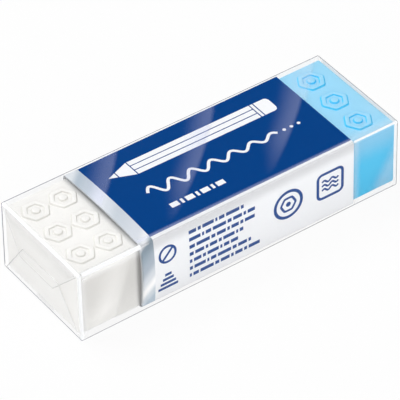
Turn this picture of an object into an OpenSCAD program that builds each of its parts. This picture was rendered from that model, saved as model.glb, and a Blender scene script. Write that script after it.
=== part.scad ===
// Rubber eraser: a two-part block in a glued card sleeve, sealed in clear film.
// X runs along the block, from the white pencil end to the blue ink end.
// Y runs across it and Z stands up from the face that it lies on. Millimetres.

/* [Eraser block] */

// Length of the whole block, both rubber parts together
block_l = 65; // [45:0.5:90]
// Width of the bare block
block_w = 21.5; // [16:0.5:32]
// Thickness of the bare block
block_h = 13; // [10:0.5:20]
// Length of the blue part, from its end to the bonded joint under the sleeve
blue_l = 21.7; // [15:0.1:24]
// Radius of the moulded outer edges
edge_r = 0.4; // [0.3:0.1:2]

/* [Moulded pattern] */

// Width across the flats of one raised hexagon
motif_af = 4.5; // [2.5:0.1:4.6]
// Width of the hexagon's rim
motif_rim = 0.8; // [0.4:0.05:1]
// Diameter of the round boss inside the rim
motif_boss_d = 1.5; // [0.6:0.1:1.6]
// How far the pattern stands up from the top face
motif_rise = 0.25; // [0.08:0.01:0.35]
// Distance between the motifs along the block
motif_pitch_x = 5.4; // [5.4:0.1:8]
// Distance between the rows of motifs across the block
motif_pitch_y = 6.6; // [5.2:0.1:9]
// Least bare margin between a motif and the edges round it
motif_margin = 0.4; // [0.4:0.1:1.5]

/* [Card sleeve] */

// How much of the white part shows in front of the sleeve
white_show = 12.1; // [6:0.1:16]
// How much of the blue part shows behind the sleeve
blue_show = 9.1; // [5:0.1:14]
// Thickness of the card
card_t = 0.35; // [0.2:0.05:0.6]
// Play between the block and the card
sleeve_play = 0.1; // [0.05:0.05:0.4]
// Inner radius of the four long creases
crease_r = 0.2; // [0.1:0.05:0.35]
// How far the top panel springs up at the mouth
bow_top = 0.5; // [0:0.05:1]
// How far the two side panels spring out at the mouth
bow_side = 0.42; // [0:0.02:1]
// How far the bottom panel springs down at the mouth
bow_floor = 0.2; // [0.05:0.05:0.5]
// Height of the lap glued inside the far panel, from the bottom crease
lap_h = 8; // [4:0.5:9]
// How far the lap's ends stay back from the ends of the sleeve
lap_back = 0.6; // [0.2:0.1:3]

/* [Film wrap] */

// Thickness of the film, drawn about twice the real one
film_t = 0.06; // [0.04:0.01:0.12]
// Play between the card and the film
film_play = 0.06; // [0.04:0.01:0.3]
// Extra width that the loose film takes on the near side of the white end
slack_near = 0.4; // [0:0.05:0.8]
// Extra height that the loose film takes over the white end
slack_top = 0.1; // [0:0.05:0.6]
// Gap between the block's ends and the film
end_play = 0.2; // [0.1:0.05:1]
// Radius of the film's long edges
film_r = 0.4; // [0.35:0.05:0.6]
// Radius of the film's end edges
end_r = 0.3; // [0.15:0.05:0.3]
// Width of the long sealed lap under the pack
seam_w = 5; // [3:0.5:8]
// Depth of the flap folded down from the top
top_flap_d = 7.9; // [5:0.1:9]
// How far the top flap narrows on the near side
top_flap_near = 7.6; // [3:0.1:8]
// How far the top flap narrows on the far side
top_flap_far = 5; // [3:0.1:7]
// Depth of the flap folded up from the bottom, over the top flap
low_flap_d = 8.2; // [5:0.1:9]
// How far the bottom flap narrows on each side
low_flap_in = 5.9; // [3:0.1:7]

/* [Smoothness] */

// Strips across each wide panel of card and film
strips_wide = 8; // [4:2:12]
// Strips up each narrow panel
strips_high = 5; // [3:1:8]
// Strips round each long crease
strips_crease = 3; // [2:1:5]
// Lengths of card between the rings of the sleeve
rings_sleeve = 10; // [6:1:14]

/* [Hidden] */

$fn = 48;
fuse = 0.02; // overlap that makes a raised part one solid with what carries it

half_w = block_w / 2;
end_x = block_l / 2;
joint_x = end_x - blue_l;
mouth_x = white_show - end_x;
tail_x = end_x - blue_show;
sleeve_l = tail_x - mouth_x;

// Inside and outside of the sleeve's section, with its crease radii.
in_lo = [-half_w - sleeve_play, 0];
in_hi = [half_w + sleeve_play, block_h + sleeve_play];
card_lo = in_lo - card_t * [1, 1];
card_hi = in_hi + card_t * [1, 1];
card_r = crease_r + card_t;
// The far panel leans out by one card at its foot, to pass over the lap.
lean = card_t;

// Outside of the film's section where it is tight round the sleeve. Its floor stays flat
// below the sprung mouth, with room for the inner layer of the long seam.
film_lo = card_lo - [film_play + film_t, bow_floor + 2 * film_t];
film_hi = card_hi + (film_play + film_t) * [1, 1];
film_x = end_x + end_play + film_t;

// 0 to 1 between a and b, and the same eased in and out.
function share(v, a, b) = min(1, max(0, (v - a) / (b - a)));
function ease(u) = u * u * (3 - 2 * u);

// How far the sleeve has sprung open at x: fully at the mouth, not at all at the tail.
function spring(x) = pow(1 - share(x, mouth_x, tail_x), 2);
function sleeve_bow(x) = spring(x) * [bow_side, bow_floor, bow_top];
// The film follows the sleeve and flattens again towards the fold of the white end.
function film_spring(x) = x < mouth_x ? ease(share(x, -film_x, mouth_x)) : spring(x);
function film_bow(x) = film_spring(x) * [bow_side, 0, bow_top];
function looseness(x) = 1 - share(x, -film_x, tail_x);

// One section of a tube between the corners lo and hi, as [y, z] points that start at the
// near bottom crease. Each panel bows out between its creases, by [side, bottom, top].
function bulge(t) = 1 - t * t;
function arc(c, r, from) = [for (i = [0:strips_crease - 1])
    let (a = from + 90 * i / strips_crease) c + r * [cos(a), sin(a)]];
function panel(a, b, n, out) = [for (i = [0:n - 1])
    let (u = i / n) a + (b - a) * u + out * bulge(2 * u - 1)];
function section(lo, hi, r, bow) = let (
    nl = lo + [r, r],
    fl = [hi.x + lean - r, lo.y + r],
    fh = hi - [r, r],
    nh = [lo.x + r, hi.y - r]
) concat(
    panel([nl.x, lo.y], [fl.x, lo.y], strips_wide, [0, -bow[1]]), arc(fl, r, -90),
    panel([fl.x + r, fl.y], [hi.x, fh.y], strips_high, [bow[0], 0]), arc(fh, r, 0),
    panel([fh.x, hi.y], [nh.x, hi.y], strips_wide, [0, bow[2]]), arc(nh, r, 90),
    panel([lo.x, nh.y], [lo.x, nl.y], strips_high, [-bow[0], 0]), arc(nl, r, 180)
);
function at_x(x, ring) = [for (p = ring) [x, p.x, p.y]];

// Faces between two rings of n points that start at a and b in the point list.
function band(a, b, n) =
    [for (i = [0:n - 1]) let (j = (i + 1) % n) [a + i, b + i, b + j, a + j]];
function flipped(faces) = [for (f = faces) [for (i = [len(f) - 1:-1:0]) f[i]]];
function joined(lists) = [for (l = lists) for (v = l) v];

// A closed solid through rings that follow each other along +X, each end closed by a fan
// of faces round its middle.
function middle(ring) = let (one = [for (p = ring) 1]) one * ring / len(ring);
module loft(rings) {
    n = len(rings[0]);
    m = len(rings);
    last = (m - 1) * n;
    polyhedron(
        points = concat(joined(rings), [middle(rings[0]), middle(rings[m - 1])]),
        faces = concat(
            joined([for (k = [0:m - 2]) band(k * n, (k + 1) * n, n)]),
            [for (i = [0:n - 1]) let (j = (i + 1) % n) [m * n, i, j]],
            [for (i = [0:n - 1]) let (j = (i + 1) % n) [m * n + 1, last + j, last + i]]
        ),
        convexity = 4
    );
}

// A tube open at both ends, from its outer rings and its inner rings.
module open_tube(outer, inner) {
    n = len(outer[0]);
    m = len(outer);
    polyhedron(
        points = concat(joined(outer), joined(inner)),
        faces = concat(
            joined([for (k = [0:m - 2]) band(k * n, (k + 1) * n, n)]),
            flipped(joined([for (k = [0:m - 2]) band((m + k) * n, (m + k + 1) * n, n)])),
            flipped(band(0, m * n, n)),
            band((m - 1) * n, (2 * m - 1) * n, n)
        ),
        convexity = 6
    );
}

// The block from x0 to x1, cut flat at x0 and with every other outer edge rounded.
module soft_block(x0, x1) {
    r = edge_r;
    xr = x1 - r;
    translate([x0, r - half_w, 0]) cube([xr - x0, block_w - 2 * r, block_h]);
    translate([x0, -half_w, r]) cube([xr - x0, block_w, block_h - 2 * r]);
    translate([xr, r - half_w, r]) cube([r, block_w - 2 * r, block_h - 2 * r]);
    for (y = [r - half_w, half_w - r]) {
        translate([xr, y, r]) cylinder(r = r, h = block_h - 2 * r);
        for (z = [r, block_h - r]) {
            translate([x0, y, z]) rotate([0, 90, 0]) cylinder(r = r, h = xr - x0);
            translate([xr, y, z]) sphere(r = r);
        }
    }
    for (z = [r, block_h - r])
        translate([xr, half_w - r, z]) rotate([90, 0, 0])
            cylinder(r = r, h = block_w - 2 * r);
}

// The raised motif: a pencil seen end on, a hexagon rim round its lead.
corner_ratio = 2 / sqrt(3);
module motif() {
    linear_extrude(motif_rise + fuse) difference() {
        circle(d = motif_af * corner_ratio, $fn = 6);
        circle(d = (motif_af - 2 * motif_rim) * corner_ratio, $fn = 6);
    }
    cylinder(d = motif_boss_d, h = motif_rise + fuse);
}

// Straight rows of motifs on the bare top from x0 to x1, as many as fit.
module motif_rows(x0, x1) {
    free_x = x1 - x0 - 2 * motif_margin - motif_af * corner_ratio;
    free_y = block_w - 2 * (edge_r + motif_margin) - motif_af;
    cols = floor(free_x / motif_pitch_x + 1);
    rows = floor(free_y / motif_pitch_y + 1);
    if (cols > 0 && rows > 0)
        for (i = [0:cols - 1], j = [0:rows - 1])
            translate([(x0 + x1) / 2 + (i - (cols - 1) / 2) * motif_pitch_x,
                       (j - (rows - 1) / 2) * motif_pitch_y, block_h - fuse]) motif();
}

module white_block() color("white") {
    mirror([1, 0, 0]) soft_block(-joint_x, end_x);
    motif_rows(edge_r - end_x, mouth_x);
}

module blue_block() color("skyblue") {
    soft_block(joint_x, end_x);
    motif_rows(tail_x, end_x - edge_r);
}

sleeve_x = [for (i = [0:rings_sleeve]) mouth_x + sleeve_l * i / rings_sleeve];

// The strip glued inside the far panel: it follows the panel's lean and bow.
module lap() {
    steps = 4;
    foot = crease_r;
    top = in_hi.y - crease_r;
    loft([for (i = [0:rings_sleeve]) let (
        x = mouth_x + lap_back + (sleeve_l - 2 * lap_back) * i / rings_sleeve
    ) at_x(x, [for (side = [0, 1], k = [0:steps]) let (
        z = foot + lap_h * (side == 0 ? k : steps - k) / steps,
        u = share(z, foot, top),
        y = in_hi.x + lean * (1 - u) + bow_side * spring(x) * bulge(2 * u - 1)
    ) [side == 0 ? y + card_t / 2 : y - card_t * (1 - u), z]])]);
}

module card_sleeve() color("royalblue") {
    open_tube(
        [for (x = sleeve_x) at_x(x, section(card_lo, card_hi, card_r, sleeve_bow(x)))],
        [for (x = sleeve_x) at_x(x, section(in_lo, in_hi, crease_r, sleeve_bow(x)))]
    );
    lap();
}

// Stations of the film: the free stretch in front of the mouth, the sleeve and the tail.
free_steps = 5;
film_stations = concat(
    [for (i = [0:free_steps - 1]) let (x0 = end_r - film_x)
        x0 + (mouth_x - x0) * i / free_steps],
    sleeve_x,
    [film_x - end_r]
);

// A ring of the film's surface that lies t inside its outer face, and inset by more
// where an end edge rounds off.
function film_ring(x, t, inset) = let (
    d = t + inset,
    k = looseness(x),
    lo = film_lo - k * [slack_near, 0] + d * [1, 1],
    hi = film_hi + k * [0, slack_top] - d * [1, 1]
) section(lo, hi, film_r - d, film_bow(x));

module film_body(t) {
    r = end_r - t;
    e = film_x - t;
    turns = [for (a = [90:-30:30]) [r * (1 - sin(a)), r * (1 - cos(a))]];
    loft(concat(
        [for (v = turns) at_x(v[0] - e, film_ring(-film_x, t, v[1]))],
        [for (x = film_stations) at_x(x, film_ring(x, t, 0))],
        [for (i = [len(turns) - 1:-1:0])
            at_x(e - turns[i][0], film_ring(film_x, t, turns[i][1]))]
    ));
}

// The two flaps folded over an end, as [y, z] outlines that start at the end's flat part.
module top_flap(lo, hi) polygon([
    [lo.x, hi.y], [lo.x + top_flap_near, hi.y - top_flap_d],
    [hi.x - top_flap_far, hi.y - top_flap_d], hi
]);
module low_flap(lo, hi) polygon([
    lo, [hi.x, lo.y], [hi.x - low_flap_in, lo.y + low_flap_d],
    [lo.x + low_flap_in, lo.y + low_flap_d]
]);
module across(x, t) translate([x, 0, 0]) rotate([90, 0, 90]) linear_extrude(t) children();

// Both flaps as layers on an end wall that faces +X: the low flap steps over the top one.
module end_fold(x, loose) {
    lo = film_lo + film_r * [1, 1] - loose * [slack_near, 0];
    hi = film_hi - film_r * [1, 1] + loose * [0, slack_top];
    across(x - fuse, film_t + fuse) {
        top_flap(lo, hi);
        low_flap(lo, hi);
    }
    across(x + film_t - fuse, film_t + fuse) intersection() {
        top_flap(lo, hi);
        low_flap(lo, hi);
    }
}

module film_wrap() color("lightcyan", 0.4) {
    difference() {
        film_body(0);
        film_body(film_t);
    }
    mirror([1, 0, 0]) end_fold(film_x, 1);
    end_fold(film_x, 0);
    // Inner layer of the long seam, which the sprung mouth of the sleeve rests on.
    translate([end_r - film_x, (in_lo.x + in_hi.x - seam_w) / 2, film_lo.y + film_t - fuse])
        cube([2 * (film_x - end_r), seam_w, film_t + fuse]);
}

// The frame's origin is in the middle of the pack, on the face that it lies on.
pack_y = [for (x = film_stations, p = film_ring(x, 0, 0)) p.x];
module placed() translate([0, -(min(pack_y) + max(pack_y)) / 2, -film_lo.y]) children();

placed() white_block();
placed() blue_block();
placed() card_sleeve();
placed() film_wrap();
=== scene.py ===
# %% [markdown]
# # A block eraser in a card sleeve and clear film
# The object is a moulded block of vinyl rubber. Its white part rubs out pencil and its
# light blue part, which holds a fine grit, rubs out ink. A printed card sleeve is glued
# round the middle, and the whole pack is sealed in clear film, folded at both ends like
# the wrap of a packet.
#
# The CAD model already has the four pieces at their true sizes. This lesson loads it as
# a fixed frame and makes a finer skin for each piece with the same rules, then prints,
# lights and photographs it.

# %% Load the frame
import math

import bpy
from mathutils import Matrix, Vector
from mathutils.geometry import delaunay_2d_cdt


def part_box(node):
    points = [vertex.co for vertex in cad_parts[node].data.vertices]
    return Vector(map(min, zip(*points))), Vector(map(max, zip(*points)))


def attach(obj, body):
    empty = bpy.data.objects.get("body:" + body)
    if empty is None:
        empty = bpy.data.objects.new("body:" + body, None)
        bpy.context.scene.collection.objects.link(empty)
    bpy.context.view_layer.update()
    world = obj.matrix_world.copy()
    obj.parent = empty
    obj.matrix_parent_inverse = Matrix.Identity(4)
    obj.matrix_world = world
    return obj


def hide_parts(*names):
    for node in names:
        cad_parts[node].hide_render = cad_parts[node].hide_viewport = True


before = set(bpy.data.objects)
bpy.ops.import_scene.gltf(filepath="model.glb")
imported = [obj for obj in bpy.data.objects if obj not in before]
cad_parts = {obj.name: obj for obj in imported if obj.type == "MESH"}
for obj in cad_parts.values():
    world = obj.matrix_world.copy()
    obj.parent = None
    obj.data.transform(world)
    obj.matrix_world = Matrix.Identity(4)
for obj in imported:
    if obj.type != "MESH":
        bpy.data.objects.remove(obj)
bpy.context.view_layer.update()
print("nodes:", ", ".join(sorted(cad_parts)))

# %% [markdown]
# ## Sizes
# Everything is measured in millimetres here and turned into metres at the very end. The
# large sizes are read from the CAD boxes, so that a skin always fits the piece that it
# stands for. Only what a box can't tell, such as a radius or the thickness of the card,
# is a number of its own.

# %% Sizes read from the frame
MM = 0.001
white_lo, white_hi = (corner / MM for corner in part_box("white_block"))
blue_lo, blue_hi = (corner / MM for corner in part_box("blue_block"))
sleeve_lo, sleeve_hi = (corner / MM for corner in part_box("card_sleeve"))
wrap_lo, wrap_hi = (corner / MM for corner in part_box("film_wrap"))

motif_rise = 0.25
block_w = white_hi.y - white_lo.y
block_h = white_hi.z - white_lo.z - motif_rise
end_x = -white_lo.x
joint_x = white_hi.x
mouth_x, tail_x = sleeve_lo.x, sleeve_hi.x
# The block's own frame: the middle of its width and its lower face.
block_at = Vector((0, (white_lo.y + white_hi.y) / 2, white_lo.z))
print(f"block {2 * end_x:.1f} x {block_w:.1f} x {block_h:.1f} mm, joint at {joint_x:.1f}")
print(f"sleeve from {mouth_x:.1f} to {tail_x:.1f} mm, blue part from {blue_lo.x:.1f} to "
      f"{blue_hi.x:.1f} mm, pack from {wrap_lo.x:.1f} to {wrap_hi.x:.1f} mm")

# %% Sizes of card and film
edge_r = 0.4
card_t = 0.35
sleeve_play = 0.1
crease_r = 0.2
bow_top, bow_side, bow_floor = 0.5, 0.42, 0.2
film_t = 0.06
film_play = 0.06
film_r, end_r = 0.4, 0.3
slack_near, slack_top = 0.4, 0.1

in_lo = Vector((-block_w / 2 - sleeve_play, 0))
in_hi = Vector((block_w / 2 + sleeve_play, block_h + sleeve_play))
card_lo = in_lo - Vector((card_t, card_t))
card_hi = in_hi + Vector((card_t, card_t))
card_r = crease_r + card_t
film_lo = card_lo - Vector((film_play + film_t, bow_floor + 2 * film_t))
film_hi = card_hi + Vector((film_play + film_t, film_play + film_t))
film_x = wrap_hi.x - 2 * film_t
print(f"film {2 * film_x:.2f} mm between its end walls")

# %% [markdown]
# ## Meshes from rings
# All four pieces are tubes of a kind: a section that travels along X. A ring is one
# section at one place. Joining ring after ring by faces gives an even mesh whose lines
# run where the shape needs them, which a cube with modifiers would not.
#
# A flat panel that meets a rounded edge gets one extra line close to that edge. It holds
# the shading, so that the panel stays flat to the eye and only the edge turns.

# %% Mesh helpers
EDGE_LINE = 0.12
SHARP = 32  # degrees between two faces from which their edge is drawn sharp


def new_object(name, data):
    """A new object in the scene."""
    made = bpy.data.objects.new(name, data)
    bpy.context.scene.collection.objects.link(made)
    return made


def between(a, b, u):
    """The point u of the way from a to b."""
    return tuple(p + (q - p) * u for p, q in zip(a, b))


def arc_point(centre, r, degrees):
    """A point on a circle, in any plane of two numbers."""
    a = math.radians(degrees)
    return (centre[0] + r * math.cos(a), centre[1] + r * math.sin(a))


def steps(start, end, pitch, marks=()):
    """Shares of the way from start to end, 0 first and 1 left out, with a line close to both."""
    length = abs(end - start)
    count = max(1, math.ceil((length - 2 * EDGE_LINE) / pitch))
    inner = [EDGE_LINE + (length - 2 * EDGE_LINE) * i / count for i in range(count + 1)]
    placed = sorted({0.0, *inner, *(abs(mark - start) for mark in marks)})
    return [place / length for place in placed]


class Skin:
    """Vertices in the block's frame and faces with their material slots."""

    def __init__(self):
        self.points, self.faces, self.slots = [], [], []

    def add_rows(self, rows, slot, closed=True, turned=False):
        """Faces between rows of equal length. slot is a number or a function of the cell."""
        first, width = len(self.points), len(rows[0])
        self.points += [point for row in rows for point in row]
        for k in range(len(rows) - 1):
            for i in range(width if closed else width - 1):
                a, b = first + k * width + i, first + k * width + (i + 1) % width
                face = (a, a + width, b + width, b)
                self.faces.append(face[::-1] if turned else face)
                self.slots.append(slot(k, i) if callable(slot) else slot)
        return first

    def add_cap(self, first, width, slot, turned=False):
        """One flat face over a ring that is already there."""
        face = tuple(range(first, first + width))
        self.faces.append(face[::-1] if turned else face)
        self.slots.append(slot)

    def add_solid(self, rows, slot, turned=True, ends=None):
        """A closed solid: rows and a cap on each end. turned suits rows that go along X."""
        first, width = self.add_rows(rows, slot, turned=turned), len(rows[0])
        ends = slot if ends is None else ends
        self.add_cap(first, width, ends, turned=turned)
        self.add_cap(first + width * (len(rows) - 1), width, ends, turned=not turned)

    def finish(self, name, materials, at=block_at):
        """Makes the object in metres, in the frame of the CAD. at is where its points start."""
        mesh = bpy.data.meshes.new(name)
        places = [(Vector(point) + at) * MM for point in self.points]
        mesh.from_pydata(places, [], self.faces)
        mesh.polygons.foreach_set("material_index", self.slots)
        mesh.polygons.foreach_set("use_smooth", [True] * len(self.faces))
        for material in materials:
            mesh.materials.append(material)
        mesh.validate()
        mesh.set_sharp_from_angle(angle=math.radians(SHARP))
        print(f"{name}: {len(mesh.polygons)} faces")
        return new_object(name, mesh)


# %% [markdown]
# ## Materials
# A colour is written the way a designer notes it, as an sRGB hex value. Blender's
# shaders want linear light, so one function converts it. One more small function adds a
# node and links it, which keeps each material short enough to read.
#
# Painted light and shade, and the film's haze, depend on the place. They are written as
# shares, each a small function that measures the place in millimetres on the block and
# fades out from there.

# %% Material helpers
def linear(colour):
    """Linear RGBA from an sRGB hex value."""
    parts = [int(colour[i:i + 2], 16) / 255 for i in (1, 3, 5)]
    return (*(c / 12.92 if c <= 0.04045 else ((c + 0.055) / 1.055) ** 2.4
              for c in parts), 1)


def new_material(name):
    """An empty node material and its tree."""
    material = bpy.data.materials.new(name)
    material.use_nodes = True
    material.node_tree.nodes.clear()
    return material, material.node_tree


def add(tree, kind, inputs=None, **settings):
    """Adds a shader node with its settings. An input is a value, a socket or another node."""
    made = tree.nodes.new("ShaderNode" + kind)
    for key, value in settings.items():
        setattr(made, key, value)
    for key, value in (inputs or {}).items():
        if isinstance(value, bpy.types.Node):
            value = value.outputs[0]  # a node stands for its first output
        if isinstance(value, bpy.types.NodeSocket):
            tree.links.new(value, made.inputs[key])
        else:
            made.inputs[key].default_value = value
    return made


# %% Shares that depend on the place
ALONG, ACROSS, UP = 0, 1, 2


def block_mm(tree):
    """The place on the block in millimetres, as three sockets."""
    place = add(tree, "TexCoord").outputs["Object"]
    in_mm = add(tree, "VectorMath", {0: place, 1: (1 / MM,) * 3, 2: -block_at},
                operation="MULTIPLY_ADD")
    return add(tree, "SeparateXYZ", {0: in_mm}).outputs


def fade(axis, start, end, strength):
    """A share that falls softly from strength at start to nothing at end."""
    def amount(tree):
        return add(tree, "MapRange", {0: block_mm(tree)[axis], 1: start, 2: end,
                                      3: strength, 4: 0.0},
                   interpolation_type="SMOOTHSTEP")
    return amount


# %% [markdown]
# ## Vinyl rubber
# Most modern erasers are plasticised PVC, filled with chalk. It comes out of the mould
# with a soft matt skin: hardly any mirror, a wide dull sheen, and a very fine grain. The
# index of refraction of PVC is about 1.53.
#
# The grain is really a few hundredths of a millimetre, too fine to show from here, so it
# is drawn about a quarter of a millimetre wide. The blue part has its grit mixed in,
# which makes its colour slightly uneven. Its top face is painted paler than its sides, a
# painted light. On the steep walls of the relief the colour is deeper, a painted shade.
# Along its mouth the sleeve's shadow is painted grey on the white part.

# %% Rubber materials
rubber_grain = 0.25
rubber_cloud = 6.0


def moulded_rubber(name, deep, pale, speck, painted_light=()):
    """Matt moulded vinyl between two near colours, with grain and clouding.

    The last argument holds (share, colour) pairs of painted light and shade laid over the
    colour.
    """
    material, tree = new_material(name)
    place = add(tree, "TexCoord").outputs["Object"]
    cloud = add(tree, "TexNoise", {"Vector": place, "Scale": 1 / (rubber_cloud * MM),
                                   "Detail": 2.0})
    grain = add(tree, "TexNoise", {"Vector": place, "Scale": 1 / (rubber_grain * MM),
                                   "Detail": 3.0, "Roughness": 0.6})
    mixed = add(tree, "Mix", {0: speck, 2: cloud, 3: grain})
    spread = add(tree, "MapRange", {0: mixed, 1: 0.35, 2: 0.65})
    colour = add(tree, "Mix", {0: spread, 6: linear(deep), 7: linear(pale)},
                 data_type="RGBA").outputs[2]
    for amount, over in painted_light:
        colour = add(tree, "Mix", {0: amount(tree), 6: colour, 7: linear(over)},
                     data_type="RGBA").outputs[2]
    skin = add(tree, "Bump", {"Strength": 0.12, "Distance": 0.02 * MM, "Height": grain})
    rubber = add(tree, "BsdfPrincipled", {
        "Base Color": colour, "Roughness": 0.6, "IOR": 1.53, "Normal": skin})
    add(tree, "OutputMaterial", {"Surface": rubber})
    return material


# The blue part's top face is painted paler than its sides: painted light.
painted_top_light = fade(UP, block_h, block_h - 0.8, 1.0)
# Grey on the white part along the sleeve's mouth: a painted shadow of the sleeve.
painted_mouth_shadow = fade(ALONG, mouth_x + 0.3, mouth_x - 1.0, 0.8)
white_rubber = moulded_rubber("white vinyl rubber, moulded matt", "#f4f3f0", "#f8f7f4", 0.3,
                              painted_light=[(painted_mouth_shadow, "#85868a")])
# The relief's walls have a deeper colour of their own: painted shade that draws its edges.
white_wall_painted_shade = moulded_rubber("white vinyl rubber, relief wall with painted shade", "#e3e1dc",
                            "#e8e6e1", 0.3)
blue_rubber = moulded_rubber("light blue vinyl rubber with fine grit", "#38bdea",
                             "#44c3ee", 0.55, painted_light=[(painted_top_light, "#96daf9")])
blue_wall_painted_shade = moulded_rubber("light blue vinyl rubber, relief wall with painted shade", "#18c8fb",
                           "#24cefc", 0.55)
print("rubber:", white_rubber.name, "and", blue_rubber.name)

# %% [markdown]
# ## The two rubber parts
# Both parts are moulded in one block: straight sides, and every outer edge rounded by
# the mould. The section is a rounded rectangle. At the outer end the rings shrink along
# a quarter circle, so the corners come out as parts of a sphere.
#
# The raised motif is a pencil seen end on: a hexagon rim round a dot. Each rim is a ring
# of its own whose profile has a soft foot and soft shoulders, as a mould leaves them. It
# is sunk a little into the block, so the two can't come apart.

# %% Block sections
EDGE_TURNS = 6
# The last ring keeps a trace of radius, so that its corner points stay apart.
POINT_R = 0.002


def block_ring(x, inset):
    """The block's rounded section at x, drawn inwards by inset."""
    r = edge_r - inset
    half, low, high = block_w / 2 - edge_r, edge_r, block_h - edge_r
    corners = [((half, low), -90), ((half, high), 0), ((-half, high), 90),
               ((-half, low), 180)]
    ring = []
    for i, (centre, turn) in enumerate(corners):
        ring += [arc_point(centre, r, turn + 90 * t / EDGE_TURNS)
                 for t in range(EDGE_TURNS + 1)]
        after, next_turn = corners[(i + 1) % 4]
        start, end = ring[-1], arc_point(after, r, next_turn)
        near = EDGE_LINE / math.dist(start, end)
        ring += [between(start, end, u) for u in (near, 1 - near)]
    return [(x, y, z) for y, z in ring]


def add_block(skin, cut_x, outer_x):
    """The block from its flat cut to its rounded outer end."""
    way = 1 if outer_x > cut_x else -1
    turn_x = outer_x - way * edge_r
    rows = [block_ring(cut_x, 0), block_ring(turn_x - way * EDGE_LINE, 0)]
    for t in range(EDGE_TURNS + 1):
        a = math.radians(90 * t / EDGE_TURNS)
        inset = min(edge_r * (1 - math.cos(a)), edge_r - POINT_R)
        rows.append(block_ring(turn_x + way * edge_r * math.sin(a), inset))
    middle = (outer_x, 0, block_h / 2)
    shrink = (1, 1 - 2 * EDGE_LINE / block_w, 1 - 2 * EDGE_LINE / block_h)
    rows.append([tuple(m + (c - m) * part for c, m, part in zip(point, middle, shrink))
                 for point in block_ring(outer_x, edge_r - POINT_R)])
    skin.add_solid(rows, 0, turned=way > 0)


# %% The raised motif
motif_af, motif_rim, boss_d = 4.5, 0.8, 1.5
pitch_x, pitch_y, motif_margin = 5.4, 6.6, 0.4
soft = 0.14  # width of the mould's soft foot and shoulders
SUNK = 0.03
SHADED_WALL = 1
corner_ratio = 2 / math.sqrt(3)


def hexagon(centre, apothem, count=48):
    """A hexagon with its corners towards X, slightly blunted, as count points."""
    ring = []
    for i in range(count):
        turn = 360 * i / count
        off = math.radians((turn % 60) - 30)
        reach = min(apothem / math.cos(off), apothem * 1.12)
        ring.append(arc_point(centre, reach, turn))
    return ring


def circle(centre, r, count=48):
    return [arc_point(centre, r, 360 * i / count) for i in range(count)]


# The slope of one side of the relief, as (offset outwards, share of the rise).
slope = [(soft, -SUNK / motif_rise), (soft, 0.0), (0.45 * soft, 0.16), (0.1 * soft, 0.6),
         (-0.15 * soft, 0.88), (-0.7 * soft, 1.0)]


def add_motif(skin, x, y):
    """One raised hexagon rim and its boss, standing on the block's top."""
    outer, inner = motif_af / 2, motif_af / 2 - motif_rim
    profile = [(outer + d, h) for d, h in slope]
    profile += [(inner - d, h) for d, h in reversed(slope)]
    rows = [[(p, q, block_h + h * motif_rise) for p, q in hexagon((x, y), reach)]
            for reach, h in profile]
    wall = len(slope) - 1
    # The rows on the walls take the second slot, whose deeper colour is painted shade.
    walls = {*range(1, wall), *range(len(profile) - wall, len(profile) - 2)}
    skin.add_rows(rows + [rows[0]], lambda k, i: SHADED_WALL if k in walls else 0, turned=True)
    boss = [[(p, q, block_h + h * motif_rise) for p, q in circle((x, y), boss_d / 2 + d)]
            for d, h in slope]
    skin.add_solid(boss, lambda k, i: SHADED_WALL if 0 < k < wall else 0, ends=0)


def add_motif_rows(skin, x0, x1):
    """Straight rows of motifs on the bare top, as many as fit."""
    free_x = x1 - x0 - 2 * motif_margin - motif_af * corner_ratio
    free_y = block_w - 2 * (edge_r + motif_margin) - motif_af
    cols, rows = int(free_x / pitch_x + 1.001), int(free_y / pitch_y + 1.001)
    for i in range(cols):
        for j in range(rows):
            add_motif(skin, (x0 + x1) / 2 + (i - (cols - 1) / 2) * pitch_x,
                      (j - (rows - 1) / 2) * pitch_y)
    print(f"motifs from {x0:.1f} to {x1:.1f} mm: {cols} x {rows}")


# %% Make the two rubber parts
white_skin = Skin()
add_block(white_skin, joint_x, -end_x)
add_motif_rows(white_skin, edge_r - end_x, mouth_x)
white_part = white_skin.finish("white_rubber_part", [white_rubber, white_wall_painted_shade])
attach(white_part, "root")
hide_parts("white_block")

blue_skin = Skin()
add_block(blue_skin, joint_x, end_x)
add_motif_rows(blue_skin, tail_x, end_x - edge_r)
blue_part = blue_skin.finish("blue_rubber_part", [blue_rubber, blue_wall_painted_shade])
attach(blue_part, "root")
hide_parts("blue_block")

# %% [markdown]
# ## The section of card and film
# The sleeve is creased at its four corners and springs open at its mouth, so each panel
# bows outwards there and lies flat again at the other end. The film drawn over it takes
# the same bow. One rule makes a section of either: four panels between four small arcs.
# At its foot the far panel leans out by one thickness of card, because it passes over
# the glued lap inside.

# %% The bowed section
def share(v, a, b):
    return min(1.0, max(0.0, (v - a) / (b - a)))


def ease(u):
    return u * u * (3 - 2 * u)


def bulge(u):
    """How much of its bow a panel has, u of the way across it."""
    return 1 - (2 * u - 1) ** 2


def spring(x):
    """How far the sleeve has sprung open at x: fully at the mouth, not at all at the tail."""
    return (1 - share(x, mouth_x, tail_x)) ** 2


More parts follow.
